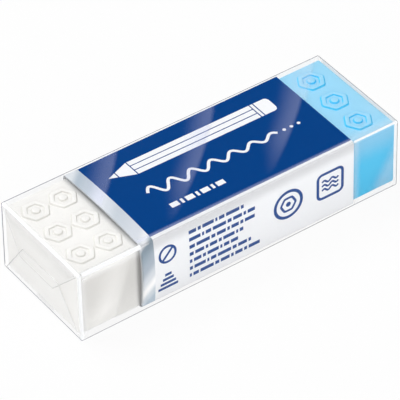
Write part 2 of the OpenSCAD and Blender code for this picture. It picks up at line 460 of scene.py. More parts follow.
def section(lo, hi, r, bow, cuts, turns):
    """A bowed section as (y, z) points. cuts has the shares across the four panels."""
    side, floor, top = bow
    panels = [
        ((lo.x + r, lo.y), (hi.x + card_t - r, lo.y), (0, -floor)),
        ((hi.x + card_t, lo.y + r), (hi.x, hi.y - r), (side, 0)),
        ((hi.x - r, hi.y), (lo.x + r, hi.y), (0, top)),
        ((lo.x, hi.y - r), (lo.x, lo.y + r), (-side, 0)),
    ]
    centres = [(hi.x + card_t - r, lo.y + r), (hi.x - r, hi.y - r), (lo.x + r, hi.y - r),
               (lo.x + r, lo.y + r)]
    ring = []
    for i, (a, b, out) in enumerate(panels):
        for u in cuts[i]:
            y, z = between(a, b, u)
            ring.append((y + out[0] * bulge(u), z + out[1] * bulge(u)))
        ring += [arc_point(centres[i], r, 90 * (i - 1) + 90 * t / turns)
                 for t in range(1, turns)]
        ring.append(arc_point(centres[i], r, 90 * i))
    return ring


def ring_names(cuts, turns):
    """The name of the panel or crease that each step of a section belongs to."""
    names = []
    for panel, crease, shares in zip(("floor", "far", "top", "near"),
                                     ("far foot", "far top", "near top", "near foot"),
                                     cuts):
        names += [panel] * len(shares) + [crease] * turns
    return names


# %% [markdown]
# ## Printed card
# The sleeve is white coated card of about 250 grams, printed by offset: a solid dark blue
# on top, a satin silver band at the mouth, and the bare white of the card elsewhere. The
# print reaches round the edges, so it is laid out on the flat blank. That is what the UV
# map holds here: the way along the block, and the way round the section, which starts at
# the near top crease.
#
# The silver is ink with metal flakes. It isn't a mirror. Its lighter and darker bands
# across the band are painted reflections, fixed in its colour under any light.

# %% Card and ink materials
card_fibre = 0.5
BLANK = 100.0  # millimetres of the flat blank in one unit of the UV map


def coated_card(name, deep, pale, roughness, gloss=0.2):
    """Coated card or flat ink: two near colours, mixed by the card's fibres."""
    material, tree = new_material(name)
    place = add(tree, "TexCoord").outputs["Object"]
    fibre = add(tree, "TexNoise", {"Vector": place, "Scale": 1 / (card_fibre * MM),
                                   "Detail": 3.0, "Distortion": 0.6})
    colour = add(tree, "Mix", {0: fibre, 6: linear(deep), 7: linear(pale)}, data_type="RGBA")
    rough = add(tree, "Bump", {"Strength": 0.08, "Distance": 0.01 * MM, "Height": fibre})
    card = add(tree, "BsdfPrincipled", {
        "Base Color": colour.outputs[2], "Roughness": roughness,
        "Specular IOR Level": gloss, "Normal": rough})
    add(tree, "OutputMaterial", {"Surface": card})
    return material


def silver_ink_painted_reflections(name, tones):
    """Satin silver ink with painted reflections: tones are (place round the blank, colour)."""
    material, tree = new_material(name)
    blank = add(tree, "UVMap", uv_map="flat_blank")
    split = add(tree, "SeparateXYZ", {0: blank})
    low, high = tones[0][0], tones[-1][0]
    # The bands of painted reflection run slightly askew, by this many mm for each mm along X.
    askew = add(tree, "Math", {0: split.outputs[0], 1: -0.9, 2: split.outputs[1]},
                operation="MULTIPLY_ADD")
    where = add(tree, "MapRange", {0: askew, 1: low / BLANK, 2: high / BLANK})
    ramp = add(tree, "ValToRGB", {0: where})
    ramp.color_ramp.interpolation = "EASE"
    stops = ramp.color_ramp.elements
    for i, (place, colour) in enumerate(tones):
        at = (place - low) / (high - low)
        ends = {0: stops[0], len(tones) - 1: stops[len(stops) - 1]}
        stop = ends[i] if i in ends else stops.new(at)
        stop.position, stop.color = at, linear(colour)
    ink = add(tree, "BsdfPrincipled", {
        "Base Color": ramp, "Roughness": 0.34, "Specular IOR Level": 0.3})
    add(tree, "OutputMaterial", {"Surface": ink})
    return material


card_white = coated_card("coated white card", "#f1f2f5", "#f5f6f8", 0.4)
card_blue = coated_card("dark blue offset ink on coated card", "#003f83", "#004288", 0.4,
                        gloss=0.05)
card_raw = coated_card("raw grey inside of the card", "#b9b7b2", "#cbc9c4", 0.85)
# The card's cut edge: its own grey, made darker by a painted shade of the mouth.
card_cut_painted_shade = coated_card("cut edge of the card, with painted shade", "#a9adb3", "#b8bcc1", 0.8)
silver_painted_reflections = silver_ink_painted_reflections("satin silver ink with painted reflections", [
    (-14.4, "#b6c6d4"), (-12.8, "#d0d8e0"), (-11.0, "#ffffff"), (-9.0, "#d8dde3"),
    (-6.3, "#a8b4c0"), (-2.1, "#8699a7"), (-0.6, "#eef0f4"), (1.5, "#d8dde5"),
    (7.0, "#cbd3dc"), (10.0, "#dae0e8"), (12.0, "#eef1f6"), (16.0, "#c3cdd7"),
    (18.5, "#b6c3cf"), (20.5, "#dfe4e9")])
# A brighter white: bare white of the print, and a painted highlight on the near crease.
white_print_and_highlight = coated_card("white of the card left bare, and a painted highlight", "#f4f5f8", "#fafbfd", 0.4)
ink_blue = coated_card("blue print on the white card", "#003f88", "#0a458b", 0.4)

# %% [markdown]
# ## The card sleeve
# The sleeve is one strip of card: four panels, and a lap glued inside the far one. Lines
# of the mesh lie on every border of the print, so each face has one ink and the borders
# are as sharp as real print. The blue starts behind the silver band and stops short of
# the near crease, where the white of the side comes round the edge.

# %% Rings of the sleeve
band_w = 2.6
blue_near, blue_far = -10.4, 10.8
card_turns = 5
panel_end = in_hi.x - crease_r
card_cuts = [
    steps(-panel_end, panel_end, 1.2),
    steps(0, block_h - crease_r, 1.2),
    steps(panel_end, -panel_end, 0.9, marks=[blue_near]),
    steps(block_h - crease_r, 0, 0.9),
]
sleeve_x = sorted({mouth_x + band_w, *(mouth_x + (tail_x - mouth_x) * i / 44
                                       for i in range(45))})


def sleeve_bow(x):
    return spring(x) * bow_side, spring(x) * bow_floor, spring(x) * bow_top


def sleeve_rings(lo, hi, r):
    return [[(x, y, z) for y, z in section(lo, hi, r, sleeve_bow(x), card_cuts, card_turns)]
            for x in sleeve_x]


outer_rings = sleeve_rings(card_lo, card_hi, card_r)
inner_rings = sleeve_rings(in_lo, in_hi, crease_r)
card_names = ring_names(card_cuts, card_turns)
print(f"sleeve rings: {len(outer_rings)} of {len(outer_rings[0])} points")


# %% Make the sleeve
WHITE, BLUE, SILVER, RAW, CUT, WHITE_PRINT_AND_HIGHLIGHT, PRINT_BLUE = range(7)


def card_ink(k, i):
    """The ink on the outer face between rings k and k + 1, after point i."""
    x = (sleeve_x[k] + sleeve_x[k + 1]) / 2
    ring = outer_rings[k]
    y = (ring[i][1] + ring[(i + 1) % len(ring)][1]) / 2
    z = (ring[i][2] + ring[(i + 1) % len(ring)][2]) / 2
    if x < mouth_x + band_w:
        return SILVER
    if card_names[i] in ("top", "far top") and blue_near < y < blue_far:
        return BLUE
    # Along the near crease a brighter white is a painted highlight.
    return WHITE_PRINT_AND_HIGHLIGHT if y < 0 and z > card_hi.y - 0.25 else WHITE


sleeve_skin = Skin()
sleeve_skin.add_rows(outer_rings, card_ink, turned=True)
sleeve_skin.add_rows(inner_rings, RAW)
sleeve_skin.add_rows([outer_rings[0], inner_rings[0]], CUT)
sleeve_skin.add_rows([outer_rings[-1], inner_rings[-1]], CUT, turned=True)

# The lap is a strip inside the far panel, which it follows.
lap_h, lap_back = 8.0, 0.6
lap_in = 0.02  # how far the lap reaches into the panel that it is glued to
lap_along, lap_up = 22, 8
lap_top = in_hi.y - crease_r
lap_rows = []
for i in range(lap_along + 1):
    x = mouth_x + lap_back + (tail_x - mouth_x - 2 * lap_back) * i / lap_along
    outer_edge, inner_edge = [], []
    for j in range(lap_up + 1):
        z = crease_r + lap_h * j / lap_up
        u = share(z, crease_r, lap_top)
        y = in_hi.x + card_t * (1 - u) + bow_side * spring(x) * bulge(u)
        outer_edge.append((x, y + lap_in, z))
        inner_edge.append((x, y - card_t * (1 - u), z))
    lap_rows.append(outer_edge + inner_edge[::-1])
sleeve_skin.add_solid(lap_rows, RAW)

# %% [markdown]
# ## The print
# Each printed shape is a ribbon: a path with a width that may change along it. A bar, a
# ring, a wave and even a filled pencil are all ribbons, so one function lays them all. It
# places every point on the bowed panel, a hair above the card, as a layer of ink is.
#
# The shapes are plain ones that belong to pencils and paper: a pencil, its wavy stroke,
# rows of bars, and a few small signs made of rings, waves and lines.

# %% Ribbons of ink
ink_rise = 0.02


def on_top(x, y):
    """A point of the sleeve's outer top face."""
    u = (panel_end - y) / (2 * panel_end)
    return (x, y, card_hi.y + bow_top * spring(x) * bulge(u) + ink_rise)


def on_side(x, z):
    """A point of the sleeve's outer near face."""
    u = (block_h - crease_r - z) / (block_h - 2 * crease_r)
    return (x, card_lo.x - bow_side * spring(x) * bulge(u) - ink_rise, z)


def sink(point, place):
    """The same point below the card's surface, on the panel that place() is for."""
    x, y, z = point
    return (x, y, z - 2 * ink_rise) if place is on_top else (x, y + 2 * ink_rise, z)


def ribbon(place, path, widths, closed=False):
    """Ink along a path of flat points. widths is one number, or one for each point."""
    slot = WHITE_PRINT_AND_HIGHLIGHT if place is on_top else PRINT_BLUE
    if not isinstance(widths, (list, tuple)):
        widths = [widths] * len(path)
    if closed:
        path, widths = path + path[:1], list(widths) + widths[:1]
    across = math.ceil(max(widths))
    rows = []
    for i, here in enumerate(path):
        before = path[i - 1] if i else (path[-2] if closed else here)
        after = path[i + 1] if i + 1 < len(path) else (path[1] if closed else here)
        way = Vector((after[0] - before[0], after[1] - before[1])).normalized()
        side = Vector((-way.y, way.x)) * widths[i] / 2
        flat = [Vector(here) + side * (1 - 2 * j / across) for j in range(across + 1)]
        top = [place(p.x, p.y) for p in flat]
        rows.append(top + [sink(point, place) for point in reversed(top)])
    if closed:
        sleeve_skin.add_rows(rows, slot, turned=True)
    else:
        sleeve_skin.add_solid(rows, slot)


def line(*corners, pitch=1.0):
    """Points no further apart than pitch along a path of corners."""
    path = [corners[0]]
    for a, b in zip(corners, corners[1:]):
        count = max(1, math.ceil(math.dist(a, b) / pitch))
        path += [between(a, b, i / count) for i in range(1, count + 1)]
    return path


def arc(centre, r, start, end, pitch=9):
    """Points along a circle, in degrees."""
    count = max(2, math.ceil(abs(end - start) / pitch))
    return [arc_point(centre, r, start + (end - start) * i / count)
            for i in range(count + 1)]


# %% Print on the top
def pencil(x0, x1, y, width):
    """A pencil that points towards x0: three facets, a cone of wood, a lead and a cap."""
    gap, cone, lead = 0.22, width * 1.25, width * 0.42
    facet = (width - 2 * gap) / 3
    cap, ferrule = x1 - width * 0.75, x1 - width * 0.95
    for j in (-1, 0, 1):
        facet_y = y + j * (facet + gap)
        ribbon(on_top, line((x0 + cone + gap, facet_y), (ferrule - gap, facet_y)), facet)
    ribbon(on_top, line((ferrule, y), (cap - gap, y), pitch=0.5), width)
    round_end = [(cap, width), (x1 - 0.6, width), (x1 - 0.25, 0.88 * width),
                 (x1, 0.6 * width)]
    wood = [x0 + lead + gap + (cone - lead - gap) * i / 5 for i in range(6)]
    point = [x0 + 0.08, x0 + lead / 2, x0 + lead]
    tapered = [[(x, width * (x - x0) / cone) for x in part] for part in (wood, point)]
    for part in (round_end, *tapered):
        ribbon(on_top, [(x, y) for x, w in part], [w for x, w in part])


pencil(-15.2, 18.6, 5.4, 3.7)

# The stroke that the pencil leaves: a wave whose swings get smaller as it goes.
wave_x0, wave_x1, wave_y = -12.0, 14.6, -1.5
wave_high, wave_fall = 1.25, 0.55
swings, wave_steps = 6.5, 130
wave = []
for i in range(wave_steps + 1):
    t = i / wave_steps
    height = wave_high * (1 - wave_fall * t)
    wave.append((wave_x0 + (wave_x1 - wave_x0) * t,
                 wave_y + height * math.sin(2 * math.pi * swings * t)))
ribbon(on_top, wave, 0.55)
dot_r = 0.34
for x in (16.0, 17.5, 19.0):
    ribbon(on_top, circle((x, wave_y), dot_r / 2, 8), dot_r, closed=True)

# A short row of dashes and dots below it.
dash_y, dash_x, dash_gap, dash_w = -6.3, -10.8, 0.5, 1.1
for length in (1.6, 0.5, 1.6, 0.5, 1.6, 0.5, 1.6):
    ribbon(on_top, line((dash_x, dash_y), (dash_x + length, dash_y)), dash_w)
    dash_x += length + dash_gap
print(f"a pencil, a wave of {swings} swings, dots and dashes on the top")


# %% Print on the near side
def rounded_square(centre, half, r):
    """The closed outline of a square with round corners."""
    path = []
    for turn, (sx, sz) in zip((0, 90, 180, 270), ((1, 1), (-1, 1), (-1, -1), (1, -1))):
        middle = (centre[0] + sx * (half - r), centre[1] + sz * (half - r))
        path += arc(middle, r, turn, turn + 90, 18)
    return path


# Two small signs at the mouth: a crossed-out stroke, and a stack of shavings.
sign_x, sign_z = -15.2, 9.1
ribbon(on_side, circle((sign_x, sign_z), 1.6, 36), 0.45, closed=True)
ribbon(on_side, line((sign_x - 1.15, sign_z - 1.15), (sign_x + 1.15, sign_z + 1.15)), 0.45)
for k, reach in enumerate((2.0, 1.55, 1.1, 0.65)):
    z = 1.9 + 0.95 * k
    ribbon(on_side, line((sign_x - reach, z), (sign_x + reach, z)), 0.55)

# Rows of short bars, whose lengths follow a fixed rhythm.
row_x0, row_high, row_low = -10.8, 11.3, 1.9
row_ends = [0.4, 3.2, 2.6, 0.2, -0.9, 2.2, 3.6]
rhythm = [1.5, 0.6, 2.3, 0.4, 1.1, 2.7, 0.8, 1.8, 0.5]
bar_h, bar_gap = 0.72, 0.34
bars = 0
for i, row_end in enumerate(row_ends):
    z = row_high + (row_low - row_high) * i / (len(row_ends) - 1)
    x, beat = row_x0, 2 * i
    while x < row_end - 0.5:
        length = min(rhythm[beat % len(rhythm)], row_end - x)
        ribbon(on_side, line((x, z), (x + length, z)), bar_h)
        x, beat, bars = x + length + bar_gap, beat + 1, bars + 1
print(f"{bars} bars in {len(row_ends)} rows")

# Two larger signs: a ring round a pencil seen end on, and a square round a wave.
ring_at, square_at = (9.6, 6.9), (18.4, 7.0)
ribbon(on_side, circle(ring_at, 2.75, 48), 0.6, closed=True)
ribbon(on_side, hexagon(ring_at, 1.35, 36), 0.45, closed=True)
ribbon(on_side, circle(ring_at, 0.25, 20), 0.5, closed=True)
ribbon(on_side, rounded_square(square_at, 2.6, 0.9), 0.55, closed=True)
for shift in (-0.9, 0.0, 0.9):
    swing = [(square_at[0] - 1.7 + 3.4 * i / 24,
              square_at[1] + shift + 0.28 * math.sin(math.pi * i / 6)) for i in range(25)]
    ribbon(on_side, swing, 0.38)

# %% Finish the sleeve
sleeve = sleeve_skin.finish("printed_sleeve", [
    card_white, card_blue, silver_painted_reflections, card_raw, card_cut_painted_shade, white_print_and_highlight, ink_blue])
blank_map = sleeve.data.uv_layers.new(name="flat_blank")
for corner in sleeve.data.loops:
    place = sleeve.data.vertices[corner.vertex_index].co / MM - block_at
    # Round the section: up the near side is negative, over the top is positive.
    across = place.y - card_lo.x if place.z > block_h - 0.2 else place.z - card_hi.y
    blank_map.data[corner.index].uv = ((place.x - mouth_x) / BLANK, across / BLANK)
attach(sleeve, "root")
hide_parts("card_sleeve")

# %% [markdown]
# ## Clear film
# The wrap is polypropylene film, a few hundredths of a millimetre thick. It has almost no
# colour of its own. The eye finds it by four things: a weak mirror that grows towards the
# edges, a faint haze where it lies off the rubber, painted highlights along the creases,
# and thin grey outlines where one looks along it.
#
# So the film is mostly the Transparent shader, which lets light straight through as thin
# film does, mixed with a smooth mirror by Schlick's rule for an index of 1.5. Real glass
# shaders would bend the light twice for nothing and leave the block in noise.
#
# Haze and painted light lie on top as thin layers, each with its share: slanted bands of
# painted reflection, a painted soft light along the creases, painted shade in grey, and a
# pale rim on the card's edge.

# %% Slanted bands of painted reflection
film_mirror = 0.04  # how much a flat face of film mirrors when seen straight on
band_pitch = 20.0   # from one slanted band to the next, along the pack
band_sharp, band_soft = 1.0, 7.2


def both(first, second):
    """The sum of two shares, at most 1."""
    def amount(tree):
        return add(tree, "Math", {0: first(tree), 1: second(tree)}, operation="ADD",
                   use_clamp=True)
    return amount


def less(first, second):
    """What is left of the first share where the second one takes its place."""
    def amount(tree):
        left = add(tree, "Math", {0: 1.0, 1: second(tree)}, operation="SUBTRACT")
        return add(tree, "Math", {0: first(tree), 1: left}, operation="MULTIPLY")
    return amount


def painted_reflection_bands(axis, origin, slope, curve, low, high, soft=band_soft, sharp=band_sharp,
                  waist=1.0):
    """Bands of painted reflection across a face of film, each with a soft and a sharp side.

    origin is a place (along, on axis) that a band ends at. From there its edge leans by
    slope and curve. low and high are (place on axis, strength) pairs, and waist is the
    share of its width that a band has left at low.
    """
    def amount(tree):
        place = block_mm(tree)
        across = add(tree, "Math", {0: place[axis], 1: origin[1]}, operation="SUBTRACT")
        turn = add(tree, "Math", {0: across, 1: curve, 2: slope}, operation="MULTIPLY_ADD")
        edge = add(tree, "Math", {0: turn, 1: across, 2: origin[0]}, operation="MULTIPLY_ADD")
        behind = add(tree, "Math", {0: place[ALONG], 1: edge}, operation="SUBTRACT")
        turns = add(tree, "Math", {0: behind, 1: band_pitch}, operation="DIVIDE")
        u = add(tree, "Math", {0: turns}, operation="FRACT")
        crest = 1 - sharp / band_pitch
        narrow = add(tree, "MapRange", {0: place[axis], 1: low[0], 2: high[0], 3: waist})
        start = add(tree, "Math", {0: narrow, 1: -soft / band_pitch, 2: 1.0},
                    operation="MULTIPLY_ADD")
        rise = add(tree, "MapRange", {0: u, 1: start, 2: crest},
                   interpolation_type="SMOOTHSTEP")
        fall = add(tree, "MapRange", {0: u, 1: crest, 2: 1.0, 3: 1.0, 4: 0.0})
        band = add(tree, "Math", {0: rise, 1: fall}, operation="MULTIPLY")
        strength = add(tree, "MapRange", {0: place[axis], 1: low[0], 2: high[0],
                                          3: low[1], 4: high[1]})
        return add(tree, "Math", {0: band, 1: strength}, operation="MULTIPLY")
    return amount


# %% The film's make-up
film_materials = []


def film_face(name, layers=(), mirror=film_mirror, crease=None):
    """The slot of a new film material: a mirror under layers of (colour, metallic, amount)."""
    material, tree = new_material(name)
    facing = add(tree, "LayerWeight", {"Blend": 0.5}).outputs["Facing"]
    body = add(tree, "BsdfTransparent")
    if mirror:
        power = add(tree, "Math", {0: facing, 1: 5.0}, operation="POWER")
        schlick = add(tree, "Math", {0: power, 1: 1 - mirror, 2: mirror},
                      operation="MULTIPLY_ADD")
        shine = add(tree, "BsdfPrincipled", {
            "Base Color": linear("#ffffff"), "Metallic": 1.0, "Roughness": 0.06})
        body = add(tree, "MixShader", {0: schlick, 1: body, 2: shine})
    for colour, metallic, amount in layers:
        haze = add(tree, "BsdfPrincipled", {
            "Base Color": linear(colour), "Roughness": 0.25, "Metallic": metallic})
        body = add(tree, "MixShader", {0: amount(tree) if callable(amount) else amount,
                                       1: body, 2: haze})
    if crease:
        start, full, colour, strength = crease
        grazing = add(tree, "MapRange", {0: facing, 1: start, 2: full, 4: strength},
                      interpolation_type="SMOOTHSTEP")
        grey = add(tree, "BsdfPrincipled", {"Base Color": linear(colour), "Roughness": 0.4})
        body = add(tree, "MixShader", {0: grazing, 1: body, 2: grey})
    add(tree, "OutputMaterial", {"Surface": body})
    film_materials.append(material)
    return len(film_materials) - 1


# %% Film materials, one for each kind of place
HAZE_AND_PAINTED_LIGHT, LILAC, GLOW, GREY = "#f8f9fb", "#cdd6ff", "#dde2ff", "#70747e"
near_y = -block_w / 2
full_haze = 0.24  # above a quarter, the denoiser takes the haze for a surface of its own

FLAT = film_face("clear film, flat")
TOP_WHITE = film_face("clear film, flat, over the white part", [(HAZE_AND_PAINTED_LIGHT, 0.0, 0.10)])
# Over the blue top: bands of painted reflection, and a painted highlight along the near edge.
TOP_BLUE = film_face("clear film, flat, over the blue part", [
    (HAZE_AND_PAINTED_LIGHT, 0.0, 0.05),
    (HAZE_AND_PAINTED_LIGHT, 0.0, painted_reflection_bands(ACROSS, (31.2, 10.0), 0.85, -0.014, (-8.5, 0.0),
                              (-2.0, 0.17))),
    (HAZE_AND_PAINTED_LIGHT, 0.0, fade(ACROSS, near_y - 0.15, near_y + 2.15, 0.2))])
# On the card's top: lilac bands of painted reflection, and a painted glow along the blue's near
# edge.
TOP_TAUT = film_face("clear film, flat, on the card", [
    (LILAC, 0.0, painted_reflection_bands(ACROSS, (10.0, 10.0), 0.85, -0.014, (-9.5, 0.0),
                               (-2.5, 0.16), waist=0.35)),
    (GLOW, 0.0, less(fade(ACROSS, blue_near - 0.05, blue_near + 0.6, full_haze),
                     fade(ACROSS, blue_near - 0.4, blue_near, 1.0)))])
# On the card's side, the grey below the top crease is painted shade.
SIDE_TAUT = film_face("clear film, flat, on the card's side", [
    ("#8d8f94", 0.0, fade(UP, block_h, block_h - 2.4, 0.18))], mirror=0.015)


def glow(axis, start, end, below, strength):
    """The soft light along the upper crease, and along the upright one at start."""
    return both(fade(axis, start, end, strength),
                fade(UP, block_h - below, block_h - 1.4, strength))


side_glow = ALONG, 0.2 - end_x, 1.5 - end_x, 0.1
# On the white side: grey painted shade, darker towards the top, lighter in bands of painted
# reflection and in the painted light along the creases.
SIDE_WHITE = film_face("clear film, slack side on white", [
    ("#9e9a96", 0.0, less(fade(UP, 1.35, 1.0, full_haze), both(glow(*side_glow, 1.0), both(
        painted_reflection_bands(UP, (-26.3, 0.0), 0.32, 0.0, (0.0, 1.0), (13.0, 0.5)),
        fade(UP, 0.8, 8.0, 0.5))))),
    (HAZE_AND_PAINTED_LIGHT, 0.0, glow(*side_glow, 0.22))])
# On the blue side: bands of painted reflection, a lighter strip next to the sleeve's tail, and a
# metallic sheen towards the top.
SIDE_BLUE = film_face("clear film, slack side on blue", [
    (HAZE_AND_PAINTED_LIGHT, 0.0, painted_reflection_bands(UP, (36.3, 0.0), 0.57, 0.0, (0.0, full_haze), (13.0, 0.2),
                              soft=11.0, sharp=7.5)),
    (HAZE_AND_PAINTED_LIGHT, 0.0, fade(ALONG, tail_x, tail_x + 1.6, full_haze)),
    (HAZE_AND_PAINTED_LIGHT, 1.0, fade(UP, block_h, block_h - 6.0, 0.2))], mirror=0.02)
INNER = film_face("clear film, inner face", mirror=0.0)
# A crease's white, and the paler rim beside it, are a painted highlight.
HIGHLIGHT_CREASE = film_face("clear film, crease with a painted highlight", [(HAZE_AND_PAINTED_LIGHT, 0.0, 0.97)])
CREASE_RIM = film_face("clear film, pale rim of a crease", [(HAZE_AND_PAINTED_LIGHT, 0.0, full_haze)])
CLEAR_CREASE = film_face("clear film, clear crease", crease=(0.40, 0.50, GREY, 0.9))
LOOSE_CREASE = film_face("clear film, clear crease off the card",
                         crease=(0.40, 0.46, "#464c66", 0.97))

end_glow = ACROSS, near_y - 0.05, near_y + 1.05, 0.2
# On the folded end: a grey band under the upper edge is painted shade, and the soft light along
# the creases is a painted highlight.
FLAP = film_face("clear film, folded flap", [
    (HAZE_AND_PAINTED_LIGHT, 1.0, 0.10),
    ("#b4b4b1", 0.0, less(fade(UP, film_hi.y, film_hi.y - 4.5, 0.14),
                          glow(*end_glow, 1.0))),
    (HAZE_AND_PAINTED_LIGHT, 0.0, glow(*end_glow, 0.22))])
FLAP_DARK = film_face("clear film, cut edge of a flap", [("#15181f", 0.0, full_haze)])
FLAP_LIGHT = film_face("clear film, sealed rim of a flap", [(HAZE_AND_PAINTED_LIGHT, 1.0, 0.25)])
print("film mirrors", film_mirror, "of the light on each face, seen straight on")

# %% [markdown]
# ## The film wrap
# The film is drawn over block and sleeve as one tube with closed, rounded ends. Over the
# bare white part it is free, so it stands off on the near side; it follows the sprung
# mouth of the sleeve, and ends snug at the blue end. The long creases and the end creases
# are slots of their own, because a crease looks different from flat film.

# %% Rings of the film
film_turns = 8
film_panels = ((22, 1.0), (13, 1.0), (22, 0.6), (13, 0.6))  # about how wide, and the pitch
rim_near, rim_far = 0.12, 0.42  # where the white of a crease ends, and its pale rim
film_cuts = [steps(0, length, pitch, marks=[rim_far, length - rim_far])
             for length, pitch in film_panels]
film_names = ring_names(film_cuts, film_turns)
end_turns = 6


def film_bow(x):
    """The film follows the sleeve, and flattens again towards the fold of the white end."""
    s = ease(share(x, -film_x, mouth_x)) if x < mouth_x else spring(x)
    return s * bow_side, 0, s * bow_top


def film_corners(loose, d):
    """The film's lowest and highest corner, d inside, where it hangs loose by that share."""
    return (film_lo + Vector((d - loose * slack_near, d)),
            film_hi + Vector((-d, loose * slack_top - d)))


def film_ring(x, at, t, inset):
    """The film's surface t inside its outer face. at is where the ring is drawn."""
    d = t + inset
    lo, hi = film_corners(1 - share(x, -film_x, tail_x), d)
    return [(at, y, z) for y, z in section(lo, hi, film_r - d, film_bow(x), film_cuts,
                                           film_turns)]


def film_rings(t):
    """Rings from the white end to the blue end, with a quarter turn at both."""
    r, e = end_r - t, film_x - t
    turn = [(r * (1 - math.sin(a)), r * (1 - math.cos(a)))
            for a in (math.radians(90 - 90 * i / end_turns) for i in range(end_turns))]
    x0, x1 = end_r - film_x, film_x - end_r
    count = 66
    places = sorted([x0 + (x1 - x0) * i / count for i in range(count + 1)]
                    + [x0 + rim_near, x0 + rim_far, mouth_x, tail_x, x1 - rim_far,
                       x1 - rim_near])
    rings = [film_ring(-film_x, back - e, t, inset) for back, inset in turn]
    rings += [film_ring(x, x, t, 0) for x in places]
    return rings + [film_ring(film_x, e - back, t, inset) for back, inset in
                    reversed(turn)]


# %% Make the film
wrap_skin = Skin()
outer_film = film_rings(0)
rings, width = len(outer_film), len(outer_film[0])


def film_part(k, i):
    """The material slot between rings k and k + 1, after point i."""
    beside = [film_names[j % width] for j in range(i - 2, i + 3)]
    x = (outer_film[k][i][0] + outer_film[k + 1][i][0]) / 2
    taut = mouth_x < x < tail_x
    turn = i - film_names.index("near top")
    # Along the upper and near creases the film carries a painted highlight.
    if k < end_turns + 2 and film_names[i] in ("top", "near", "near top"):
        return CREASE_RIM if k == end_turns + 1 else HIGHLIGHT_CREASE
    if k < end_turns or (x < mouth_x and film_names[i] == "far top"):
        return LOOSE_CREASE
    if k >= rings - 1 - end_turns:
        return CLEAR_CREASE
    if x < mouth_x and "near top" in beside:
        return HIGHLIGHT_CREASE if "near top" in beside[1:4] else CREASE_RIM
    if x > tail_x and film_names[i] == "near top" and turn < 5:
        return HIGHLIGHT_CREASE  # only the upper part of the crease is pale there
    if x > tail_x and "near top" in beside and film_names[i] == "top":
        return CREASE_RIM
    if film_names[i] in ("far top", "far", "far foot", "near foot"):
        return FLAT if film_names[i] == "far" else CLEAR_CREASE
    if film_names[i] == "top":
        return TOP_TAUT if taut else TOP_WHITE if x < 0 else TOP_BLUE
    if film_names[i] in ("near", "near top"):
        return SIDE_TAUT if taut else SIDE_WHITE if x < 0 else SIDE_BLUE
    return FLAT


wrap_skin.add_rows(outer_film, film_part, turned=True)
wrap_skin.add_solid(film_rings(film_t), INNER, turned=False)

# The long seam underneath has a second layer inside, a flat strip from end to end.
seam_w = 5.0
seam_z = film_lo.y + film_t
seam_x = film_x - end_r
seam_rows = [[(x, y, z) for y, z in ((-seam_w / 2, seam_z), (seam_w / 2, seam_z),
                                     (seam_w / 2, seam_z + film_t),
                                     (-seam_w / 2, seam_z + film_t))]
             for x in (-seam_x, seam_x)]
wrap_skin.add_solid(seam_rows, FLAP)

# %% [markdown]
# ## Folded ends
# At each end the sides are tucked in first. Then the top flap is folded down and the
# bottom flap is folded up over it, and a hot bar seals them. The folds at both sides of a
# flap slope inwards, as on a parcel. The lower flap rises a little on its way up, to pass
# over the other.
#
# The seal makes one sheet of the layers, so the end wall is drawn as one skin with steps.
# The outlines of the flaps cut the flat wall into regions. Each region is moved out to the
# height of its topmost layer, and small upright faces join the steps. The cut edges
# are a grey line with a bright rim beside it, which are regions too.

# %% Outlines of the flaps
top_flap_d, top_flap_near, top_flap_far = 7.9, 7.6, 5.0
low_flap_d, low_flap_in = 8.2, 5.9
line_w, rim_w = 0.17, 0.22


def inset(corners, d):
    """The trapezium of a flap with its two slopes and its free edge moved in by d."""
    made = []
    for k, here in enumerate(corners):
        before, after = Vector(corners[k - 1]), Vector(corners[(k + 1) % 4])
        ways = [(Vector(here) - before).normalized(), (after - Vector(here)).normalized()]
        # The side from the last corner to the first is the fold line, which stays.
        a, b = [Vector(here) + Vector((-way.y, way.x)) * (0 if k == fold else d)
                for way, fold in zip(ways, (0, 3))]
        cross = ways[0].x * ways[1].y - ways[0].y * ways[1].x
        t = ((b - a).x * ways[1].y - (b - a).y * ways[1].x) / cross
        made.append(tuple(a + ways[0] * t))
    return made


